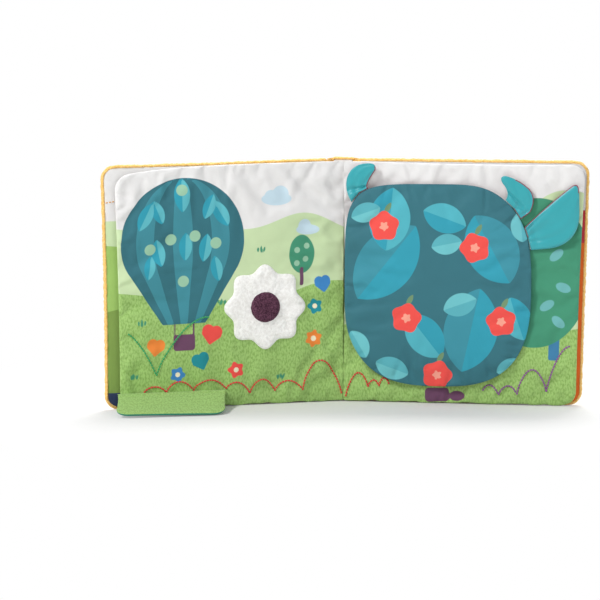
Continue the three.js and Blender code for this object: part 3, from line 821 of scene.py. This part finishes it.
# Printed poplin on the flap's front, and plain maroon poplin behind, both a little glossier than
# the pages
flap_front = printed("printed_poplin_flap", DEEP_TEAL, [
    ("cyan", CYAN), ("cyan_half", "#3A8FA0"), ("light", "#4FB0BE"), ("light_half", CYAN),
    ("pale", "#6CBFC6"), ("pale_half", "#58AEB9"), ("stalks", "#6F8F6A"), ("coral", CORAL),
    ("hearts", "#F6A08C"),
], Roughness=0.7)
maroon = printed("poplin_maroon", MAROON, [], Roughness=0.75)


def on_flap(x, n, y):
    """A place on the flap, from its middle. Its inner side reaches 1.8 mm further into the gutter
    than the model's, and the rest follows by the square of the distance from the outer side."""
    inwards = 1.8 * (0.5 - 0.5 * x / FLAP_REACH[0]) ** 2
    return stand(RIGHT, FLAP_U + x - inwards, FLAP_MID + n, FLAP_Z + y)


def add_flap():
    """The big flap's pad, with gathers and deep tucks round its seam."""
    side = spaced(-1, 1, 14 / FLAP_REACH[1], PAGE_PITCH / FLAP_REACH[1])
    coarse = np.linspace(-1, 1, 46)
    x, y = flap_grid(side)
    folds = stuffing_folds(*flap_grid(coarse), coarse, coarse, side, side, FLAP_HALF, 35)
    gap, along = seam_place(x, y)
    body = 0.62 * swell(gap, 10) + 0.26 * swell(gap, 60)
    broad = 0.35 * noise(x / 40, y / 46, 31) + 0.15 * noise(x / 17, y / 19, 33)
    relief = 1.7 * folds + 1.5 * gathers(gap, along, 22, 15, 35)
    relief = relief + tucks(gap, along, 24, 19, 3.8, 39)
    front = FLAP_HALF * body + relief + smooth_step(gap, 1, 20) * (broad + 0.5)
    front = np.maximum(below(front, FLAP_HALF + 0.9), 0.1 * FLAP_HALF * body)
    back = np.minimum(FLAP_HALF * body + 0.4 * gathers(gap, along, 12, 10, 37), FLAP_HALF)
    pad = sewn("big_flap_pad", on_flap, x, y, front, -back, [flap_front, maroon], "big_flap",
               prints=flap_prints(x, y))
    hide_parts("big_flap_front_cloth", "big_flap_batting", "big_flap_back_cloth")


add_flap()


# Covers and spine


def cover_faces(u, z, run):
    """Inside and outside of a plush cover. Outside it swells as a quarter ellipse. Inside it rolls
    over the edge as a rounded lip, and then drops to the bed that the lining lies on."""
    gap, along = seam_place(u, z)
    fallen = smooth_step(gap, LIP - 0.7, LIP + 0.9)
    lip = 3.9 * swell(gap, 1.8) * (1 - fallen) + 1.9 * fallen
    tufts = 0.35 * noise(u / 1.9, z / 1.9, 71) + 0.35 * noise(u / 4.5, z / 4.5, 72)
    waves = 0.25 * noise(along / 9, gap / 20, 75)
    edge = smooth_step(gap, 0, 1.5)
    inside = lip + edge * (tufts * (1 - smooth_step(gap, LIP, LIP + 1)) + waves)
    outside = (COVER_HALF - 1) * swell(gap, run) + 0.9 * swell(gap, 1.5) + edge * (tufts - 0.5)
    return inside, -np.minimum(outside, COVER_HALF)


def add_cover(body, side, size, run, pitch, cloth, prints):
    """A cover or the spine: plush with a ragged edge, and the lining that is stretched inside its
    lip. `run` is how far in from the seam its outside goes on rising."""
    place = partial(stand, side)
    u, z, _ = panel_grid(size, pitch)
    inside, outside = cover_faces(u, z, run)
    du, dz = drawn_in(size, u, z)
    du = du + 0.45 * noise(u / 1.7, z / 1.7, 73)
    dz = np.maximum(dz + 0.45 * noise(u / 1.7, z / 1.7, 74), 0)
    pad = sewn(f"{body}_pad", place, du, dz, inside, outside, [plush, plush], body, (u, z))
    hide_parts(f"{body}_plush", f"{body}_foam")
    cut = dict(size, inner=size["inner"] + LIP, outer=size["outer"] - LIP, foot=LIP,
               top=size["top"] - LIP, round=max(1.5, size["round"] - LIP), inner_round=1.5)
    u, z, steps = panel_grid(cut, pitch)
    gap, along = seam_place(u, z)
    rise = 2.9 + (COVER_HALF - 3.1) * swell(gap, run) + 0.25 * gathers(gap, along, 12, 9, 77)
    du, dz = drawn_in(size, u, z)
    pads[f"{body}_lining"] = (stand(side, du, rise, dz), steps, cut)
    lining = sewn(f"{body}_lining_cloth", place, du, dz, rise, rise - 0.7, [cloth, cloth],
                  body, (u, z), prints(u, z))
    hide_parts(f"{body}_lining")


def left_lining(u, z):
    """Bands of colour up the front cover, which show past the page's edge. The darker olive band
    low down is painted shadow of the page.
    """
    return {"pale": 186.5 - z, "meadow": 158 + 5 * np.sin(u / 30) - z,
            "page_shadow_band": 96 + 6 * np.sin(u / 24) - z, "navy": both_of(17 - z, u - 196)}


def spine_lining(u, z):
    """The left page's bands, behind the gutter."""
    return {"pale": 176 - z, "meadow": 112 - z}


def right_lining(u, z):
    """Bands of colour up the back cover, and a dark plum strip low beside the page's outer edge,
    which is painted shadow of the page.
    """
    return {"crimson": 193 - z, "orange": 161 - z, "plum": both_of(50 - z, z - 12, 214 - u)}


# The linings are of the pages' printed cotton
lining_left = printed("printed_cotton_front_lining", SKY, [
    # The olive green is the page's shadow, painted on the lining's lower part
    ("pale", PALE_GREEN), ("meadow", "#9DC267"), ("page_shadow_band", "#7F9C4C"), ("navy", NAVY),
])
lining_right = printed("printed_cotton_back_lining", "#D3D3D6", [
    # The dark plum strip is painted shadow beside the page's lower outer edge
    ("crimson", CRIMSON), ("orange", RUST), ("plum", "#5A2D3C"),
])
lining_spine = printed("printed_cotton_spine_lining", SKY, [
    ("pale", PALE_GREEN), ("meadow", MEADOW),
])

add_cover("front_cover", LEFT, LEFT_COVER, 22, 1.9, lining_left, left_lining)
add_cover("back_cover", RIGHT, RIGHT_COVER, 22, 1.9, lining_right, right_lining)
add_cover("spine", SPINE, SPINE_PANEL, 9, 1.6, lining_spine, spine_lining)


# Horns and ear


def bezier(*points, count=25):
    """Points on a curve of any degree: each control point times its Bernstein share."""
    points, t = np.array(points, float), np.linspace(0, 1, count)[:, None]
    n = len(points) - 1
    return sum(math.comb(n, k) * t ** k * (1 - t) ** (n - k) * p for k, p in enumerate(points))


def lengths_along(line):
    """How far along a line each of its points is."""
    return np.concatenate([[0], np.cumsum(np.hypot(*np.diff(line, axis=0).T))])


def at_lengths(line, at):
    """The places on a line at given lengths along it."""
    return np.stack([np.interp(at, lengths_along(line), line[:, k]) for k in (0, 1)], -1)


def evenly(line, count):
    """A line's points set out again at equal steps along it."""
    return at_lengths(line, np.linspace(0, lengths_along(line)[-1], count))


def root_of(start, end):
    """The root's points just outside the flap's edge, between two of the model's angles."""
    angle = np.radians(np.linspace(start, end, 13))
    turns = np.stack([np.cos(angle), np.sin(angle)], -1)
    reach = np.array(FLAP_REACH) + 0.6
    return np.sign(turns) * reach * np.abs(turns) ** (2 / flap_power(angle))[:, None]


# Satin: smooth float threads with a soft silky gloss
satin = printed("satin_teal", "#27A0A9", [("rolled", MAROON)], thread=0.9, depth=0.08,
                Roughness=0.37, Sheen_Weight=0.35, Specular_IOR_Level=0.5)


def add_tab(name, start, end, reach, free_edge, tip, rolled, seed, crease):
    """A cloth tab. Its free edge is a run of curves from the end of its root round to the start.
    Their points are shares of its reach: along the root's chord, and straight out. The grid's two
    side lines are the parts of that edge before and after its tip. rolled is 1 where the maroon
    back cloth rolls over the seam at the root's end, and -1 at its start. Folds run out from the
    root, where the cloth is gathered into the flap's seam, and one crease lies along it: a bell
    curve across, given as how far out it lies and how deep."""
    rows, columns, count = 40, 28, 200
    root = root_of(start, end)
    along = (root[-1] - root[0]) / np.hypot(*(root[-1] - root[0])) * reach
    out = np.array([along[1], -along[0]])
    middle = (root[0] + root[-1]) / 2
    line = [root[-1:]]
    for curve in free_edge:
        line.append(bezier(line[-1][-1], *[middle + s * along + t * out for s, t in curve]))
    line = evenly(np.concatenate(line + [root[:1]]), count)
    a, b = evenly(line[int(count * tip):][::-1], rows), evenly(line[:int(count * tip) + 1], rows)
    share = 0.5 - 0.5 * np.cos(np.linspace(0, np.pi, columns))
    flat = a[:, None] + (b - a)[:, None] * share[None, :, None]
    bow = evenly(root, columns) - flat[0]
    order = share * (columns - 1)
    bow = np.stack([np.interp(order, np.arange(columns), bow[:, k]) for k in (0, 1)], -1)
    far = np.linspace(0, 1, rows)[:, None]
    flat = flat + bow[None] * np.clip(1 - far * 4, 0, 1)[..., None] ** 2
    x, y = flat[..., 0], flat[..., 1]
    gap, _ = seam_place(x, y)
    body = 1.5 * swell(gap, 6)
    folds = np.exp(-far / 0.4) * (np.abs(noise(share * 5 + 0 * far, far * 1.5, seed)) * 2.2 - 0.5)
    folds = 1.3 * folds + 0.7 * noise(share * 2.5 + 0 * far, far * 2.5, seed + 3)
    folds = folds * smooth_step(gap, 0, 2)
    bent = far - crease[0] * (1 + 0.5 * (share - 0.5))
    folds = folds - crease[1] * np.exp(-(bent / 0.045) ** 2) * smooth_step(gap, 0, 2.5)
    curl = 1.6 * far ** 2
    front, back = body + folds + curl, -0.8 * body + folds * 0.6 + curl
    side = np.where(np.arange(columns) > columns / 2, 9, -9) * rolled
    pad = sewn(f"{name}_cloth", on_flap, x, y, front, back, [satin, maroon], name,
               prints={"rolled": np.minimum(side, 0) + 0.9 - gap})
    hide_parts(f"{name}_front", f"{name}_back")


add_tab("left_horn", 119, 144, 36, [
    [(0.27, 0.44), (-0.24, 0.96), (-0.74, 0.52)], [(-0.93, 0.38), (-0.76, 0.25)],
    [(-0.41, 0.17), (-0.3, 0.06)],
], 0.72, -1, 41, (0.17, 2.6))
add_tab("right_horn", 34, 52, 32, [
    [(0.45, 0.27), (0.83, 0.25)], [(1.09, 0.3), (0.93, 0.48)], [(0.54, 0.75), (0.16, 0.78)],
    [(-0.2, 0.77), (-0.38, 0.36)],
], 0.42, -1, 43, (0.2, 2.2))
add_tab("right_ear", 14, 28, 52, [
    [(0.53, 0.53), (0.75, 1.04)], [(0.81, 1.2), (0.59, 1.14)], [(0.36, 1.09), (0.14, 1.03)],
    [(-0.35, 0.85), (-0.27, 0.3)],
], 0.46, 1, 47, (0.1, 1.4))


# The flap on the floor

# Its upper cloth is cotton with the meadow print all over, and its lower one plain cotton
floor_top = printed("printed_cotton_floor_flap", MEADOW, [("meadow", MEADOW)], speckle=GRAIN)
floor_under = printed("cotton_sea_green", SEA_GREEN, [])


def add_floor_flap():
    """The upper cloth lies flat and the sea-green one rises round the edge to it, so that the seam
    is high. A strip of the upper cloth goes on over the fold to the page."""
    u, z, _ = panel_grid(FLOOR_FLAP, 1.5)
    gap, along = seam_place(u, z)
    top = 1.1 + 0.9 * swell(gap, 9) + 0.4 * gathers(gap, along, 12, 9, 51)
    top = top + 0.3 * smooth_step(gap, 1, 12) * noise(u / 22, z / 16, 53)
    du, dz = drawn_in(FLOOR_FLAP, u, z)
    under = 1.1 - 2.9 * swell(gap, 4)
    pad = sewn("floor_flap_pad", lay, du, dz, top, under, [floor_top, floor_under], "floor_flap",
               (u, z), {"meadow": np.ones(u.shape)})
    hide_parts("floor_flap_top_cloth", "floor_flap_padding", "floor_flap_under_cloth")
    # The strip: a curve from the page over the fold, given as n and z, run along the page
    steps = 13
    line = evenly(bezier((10.4, 16.8), (13.4, 16.8), (15.6, 16.5), (20.5, 14.2)), steps)
    a = np.repeat(spaced(108, 213.5, 2, 3)[:, None], steps, 1)
    n = np.broadcast_to(line[:, 0], a.shape)
    high = line[:, 1] + 0.15 * noise(a / 13, n / 4, 55)
    out = np.stack([np.gradient(line[:, 1]), -np.gradient(line[:, 0])])
    out /= -np.hypot(*out)

    def over_fold(u, off, _):
        """A place `off` the line of the strip, along the page at u."""
        return stand(LEFT, u, n + off * out[0], high + off * out[1])

    fold = sewn("floor_flap_fold_cloth", over_fold, a, n, 0 * a, 0 * a - 0.6,
                [floor_top, floor_top], None, (a, n), {"meadow": np.ones(a.shape)})
    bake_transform(fold)


add_floor_flap()


# Sewn on the left page


def on_page(name, u, z):
    """A place on a page's front face, and the way off it. The grid's rows and shares give the row
    and column, and the four points round it are blended."""
    grid, (rows, shares), size = pads[name]
    start, end = sides(size, z)
    r = np.interp(z, rows, np.arange(len(rows)))
    c = np.interp((u - start) / (end - start), shares, np.arange(len(shares)))
    i, j = np.minimum(r.astype(int), len(rows) - 2), np.minimum(c.astype(int), len(shares) - 2)
    s, t = (r - i)[..., None], (c - j)[..., None]
    a, b, d, e = grid[i, j], grid[i, j + 1], grid[i + 1, j], grid[i + 1, j + 1]
    across, up = (b - a) * (1 - s) + (e - d) * s, (d - a) * (1 - t) + (e - b) * t
    off = np.cross(up, across)
    off /= np.linalg.norm(off, axis=-1, keepdims=True)
    off *= np.sign(-off[..., 1:2])
    return (a * (1 - t) + b * t) * (1 - s) + (d * (1 - t) + e * t) * s, off


def add_stitches(name, page, body, lines, material, length=2.6, gap=0.25, thick=1.8):
    """Stitches along lines on a page: short threads that dive into the cloth at both ends.
    Each is a six-sided tube of five rings, narrow at its ends."""
    starts, ends = [], []
    for line in lines:
        at = np.arange(0, lengths_along(line)[-1] - length, length + gap)
        starts.append(at_lengths(line, at))
        ends.append(at_lengths(line, at + length))
    a, b = np.concatenate(starts)[:, None], np.concatenate(ends)[:, None]
    share = np.array([0, 0.18, 0.5, 0.82, 1])[:, None]
    radius = thick / 2 * np.array([0.35, 0.9, 1, 0.9, 0.35])
    lift = thick * np.array([-0.1, 0.2, 0.3, 0.2, -0.1])
    flat = a * (1 - share) + b * share
    middle, off = on_page(page, flat[..., 0], flat[..., 1])
    middle = middle + off * lift[:, None]
    along = middle[:, -1:] - middle[:, :1]
    along = along / np.linalg.norm(along, axis=-1, keepdims=True)
    across = np.cross(np.broadcast_to(along, off.shape), off)
    angle = np.radians(np.arange(0, 360, 60))[:, None]
    ring = across[:, :, None] * np.cos(angle) + off[:, :, None] * np.sin(angle)
    points = middle[:, :, None] + ring * radius[:, None, None]
    own = np.arange(30).reshape(5, 6)
    side = quads(np.concatenate([own, own[:, :1]], 1))
    caps = np.array([[0, 1, 2, 3], [0, 3, 4, 5], [24, 27, 26, 25], [24, 29, 28, 27]])
    tube = np.concatenate([side, caps])[:, ::-1]
    faces = (tube + own.size * np.arange(len(points))[:, None, None]).reshape(-1, 4)
    points = points.reshape(-1, 3)
    make_piece(name, points, faces, [material], body, flip=inside_out(points[:own.size], tube))


def scallops(feet, heights):
    """Round arches from foot to foot: each is half a turn of a sine, to the power 0.7."""
    t = np.linspace(0, 1, 30)[:, None]
    feet = np.array(feet, float)
    arch = np.sin(np.pi * t) ** 0.7 * (0, 1)
    return [a + (b - a) * t + high * arch for a, b, high in zip(feet[:-1], feet[1:], heights)]


add_stitches("stitches_red", "leaf_1_pad", "leaf_1", scallops(
    [(190, 17), (168, 17), (140, 17), (106, 17), (82, 12), (56, 13), (28, 13), (-13, 5)],
    [6, 10, 10, 9, 13, 10, 33],
), threads["red"])
add_stitches("stitches_red_right", "leaf_2_pad", "leaf_2", scallops(
    [(-13, 5), (9, 15), (20, 16), (30, 18)], [19, 7, 8],
), threads["red"])
add_stitches("stitches_green", "leaf_1_pad", "leaf_1", scallops(
    [(206, 78), (178, 34), (122, 88)], [6, 16],
), threads["green"])
# The last plum arch runs only half way, off the page
rise = np.linspace(0, 1, 30)
half_arch = np.stack([189 + 24 * rise, 14 + 46 * np.sin(np.pi / 2 * rise) ** 0.8], -1)
add_stitches("stitches_plum", "leaf_2_pad", "leaf_2", scallops(
    [(124, 14), (140, 10), (159, 11), (189, 14)], [8, 9, 24],
) + [half_arch], threads["plum"])
add_stitches("stitches_orange", "front_cover_lining", "front_cover",
             [np.array([(206, 206.5), (221, 204.5)])], threads["orange"], length=2.2, gap=0.9,
             thick=1.0)


def add_film():
    """The crackling film inside the right page: it lies just under the front cloth, whose shape it
    follows, with small crackles of its own."""
    u, z, _ = panel_grid(FILM, 4)
    base, off = on_page("leaf_2_pad", u, z)
    top = -1.1 + 0.25 * noise(u / 5, z / 5, 91)
    film = sewn("crinkle_film_sheet", lambda u, n, z: base + off * n[..., None], u, z,
                top, top - 0.25, [film_plastic, film_plastic], "leaf_2", (u, z))
    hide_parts("crinkle_film")


def add_flower_part(name, node, material, reach, petals, depth, rise, sink, seed):
    """A padded round on the left page, whose edge swings in by `depth` between petals. It rises
    from `sink` to `rise` off the page, and its underside is flat."""
    turns, rings = 96, 14
    angle = np.linspace(0, math.tau, turns + 1)
    share = np.concatenate([[0], np.sin(np.linspace(0.12, math.pi / 2, rings))])[:, None]
    edge = reach * (1 - depth * np.sin(petals * angle / 2) ** 2)
    u, z = FLOWER_U + share * edge * np.cos(angle), FLOWER_Z + share * edge * np.sin(angle)
    base, off = on_page("leaf_1_pad", u, z)
    gap = (1 - share) * edge
    bumps = 0.5 * noise(u / 3.1, z / 3.1, seed) + 0.25 * noise(u / 1.6, z / 1.6, seed + 1)
    height = sink + (rise - sink) * swell(gap, 5) + bumps * smooth_step(gap, 0, 2)
    top, low = base + off * height[..., None], base + off * (sink - 0.05)
    # The middle is one point and so are both ends of a ring: faces there have three corners
    index = np.arange(u.size).reshape(u.shape)
    index[:, -1] = index[:, 0]
    index[0] = 0
    under = index + u.size
    under[-1] = index[-1]
    faces = np.concatenate([quads(index), quads(under)[:, ::-1]])
    used, faces = np.unique(faces, return_inverse=True)
    faces = faces.reshape(-1, 4)
    points = np.concatenate([top.reshape(-1, 3), low.reshape(-1, 3)])[used]
    twice = faces == np.roll(faces, 1, 1)
    middle = twice.any(1)
    threes = faces[middle][~twice[middle]].reshape(-1, 3)
    pad = make_piece(name, points, [faces[~middle], threes], [material], "leaf_1",
                     flip=inside_out(points, faces))
    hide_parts(node)


add_flower_part("fleece_flower_pad", "fleece_flower", fleece,
                42, 8, 0.16, 2.6, 0.1, 61)
add_flower_part("flower_centre_pad", "flower_centre", shag,
                15, 8, 0.0, 5.4, 1.9, 63)
add_film()


# The outside cloth where it folds between the spine and each cover


def add_hinge_cloth(name, side, node):
    """The plush over a hinge. Seen from above it runs on a curve from the spine to the cover."""
    way, turn = side[2], math.radians(side[3])
    start, bend = (10.5, 0.6), (14.6, -6.0)
    end = (HINGE_X - 1.5 * math.cos(turn), HINGE_Y + 1.5 * math.sin(turn) + 1.5)
    line = bezier(start, bend, end, count=15)
    z = np.repeat(spaced(1, 240.3, 6, 3.5)[:, None], len(line), 1)
    x = np.broadcast_to(line[:, 0], z.shape)
    y = line[:, 1] + 0.5 * noise(z / 9, x / 9, 81)
    half = np.full(x.shape, 2.0)
    cloth = sewn(name, lambda x, n, z: np.stack([way * (x + 0.35 * n), y + 0.2 * n, z], -1),
                 x, z, half, -half, [plush, plush], None)
    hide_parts(node)
    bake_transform(cloth)


add_hinge_cloth("front_hinge_strip", LEFT, "front_hinge_cloth")
add_hinge_cloth("back_hinge_strip", RIGHT, "back_hinge_cloth")


# Inside the left page the squeaker stays as modelled
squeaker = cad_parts["squeaker"]
squeaker.data.materials.clear()
squeaker.data.materials.append(squeaker_plastic)


# Room, lamps and camera

# What the camera is aimed at, how far off it stands, how wide it sees there and its sensor's width,
# in millimetres, and how many degrees it looks down
AIM, DISTANCE, SEEN, SENSOR = np.array([-43.0, 0.0, 98.0]), 2300.0, 600, 36
ELEVATION = 6.6
# In metres, as all of the lamps' sizes
LAMP_AIM = (0, 0, 0.1)
WHITE = (1, 1, 1, 1)


def hold(name, data, place):
    """Puts a lamp or a camera into the scene."""
    holder = bpy.data.objects.new(name, data)
    bpy.context.scene.collection.objects.link(holder)
    holder.location = place
    return holder


def add_lamp(name, place, size, power):
    """A round area lamp that is turned towards the book."""
    lamp = bpy.data.lights.new(name, "AREA")
    lamp.shape, lamp.size, lamp.energy = "DISK", size, power
    way = Vector(LAMP_AIM) - Vector(place)
    hold(name, lamp, place).rotation_euler = way.to_track_quat("-Z", "Y").to_euler()


def add_floor():
    """A matt floor. The camera sees it a little brighter than it is lit, and plain white away from
    the book."""
    square = 9e3 * np.array([(-1, -1, 0), (1, -1, 0), (1, 1, 0), (-1, 1, 0)], float)
    material, tree, shader = finish_named("pale_floor", Roughness=0.9, Specular_IOR_Level=0.1,
                                          Base_Color=linear("#E0DFDD"))
    lit, place = shader.outputs[0], add(tree, "TexCoord", out="Object")
    away = add(tree, "VectorMath", {0: place}, "Value", operation="LENGTH")
    far_off = {"Value": away, "From Min": 0.12, "From Max": 0.42}
    share = add(tree, "MapRange", far_off, interpolation_type="SMOOTHSTEP")
    glow, white = (add(tree, "Emission", {"Color": WHITE, "Strength": s}) for s in (0.02, 1.0))
    near = add(tree, "AddShader", {0: lit, 1: glow})
    seen = add(tree, "MixShader", {0: share, 1: near, 2: white})
    camera = add(tree, "LightPath", out="Is Camera Ray")
    seen = add(tree, "MixShader", {0: camera, 1: lit, 2: seen})
    tree.links.new(seen, tree.nodes["Material Output"].inputs["Surface"])
    make_piece("floor", square, np.array([[0, 1, 2, 3]]), [material], None)


def add_world():
    """A studio that lights softly and looks white, also in reflections."""
    world = bpy.data.worlds.new("studio")
    bpy.context.scene.world = world
    world.use_nodes = True
    tree = world.node_tree
    seen = 0.0
    for kind in ("Is Camera Ray", "Is Glossy Ray", "Is Transmission Ray"):
        ray = add(tree, "LightPath", out=kind)
        seen = add(tree, "Math", {0: seen, 1: ray}, operation="MAXIMUM")
    soft = add(tree, "Background", {"Color": (0.97, 0.98, 1, 1), "Strength": 0.48})
    white = add(tree, "Background", {"Color": WHITE, "Strength": 1.0})
    sky = add(tree, "MixShader", {0: seen, 1: soft, 2: white})
    tree.links.new(sky, tree.nodes["World Output"].inputs["Surface"])


def add_camera():
    """The camera, as far off as the photograph's perspective suggests."""
    lens = bpy.data.cameras.new("camera")
    lens.sensor_width = SENSOR
    lens.lens = SENSOR * DISTANCE / SEEN
    lens.clip_start, lens.clip_end = 0.1, 50
    e = math.radians(ELEVATION)
    holder = hold("camera", lens, (AIM + DISTANCE * np.array([0, -math.cos(e), math.sin(e)])) * MM)
    holder.rotation_euler = (math.pi / 2 - e, 0, 0)
    bpy.context.scene.camera = holder


add_floor()
add_world()
add_lamp("key", (-1.5, -1.2, 1.7), 0.45, 36)
add_lamp("fill", (1.5, -1.6, 0.7), 1.0, 6)
add_lamp("back", (0.25, 1.0, 1.9), 1.3, 50)
add_camera()
bpy.context.scene.view_settings.view_transform = "Standard"
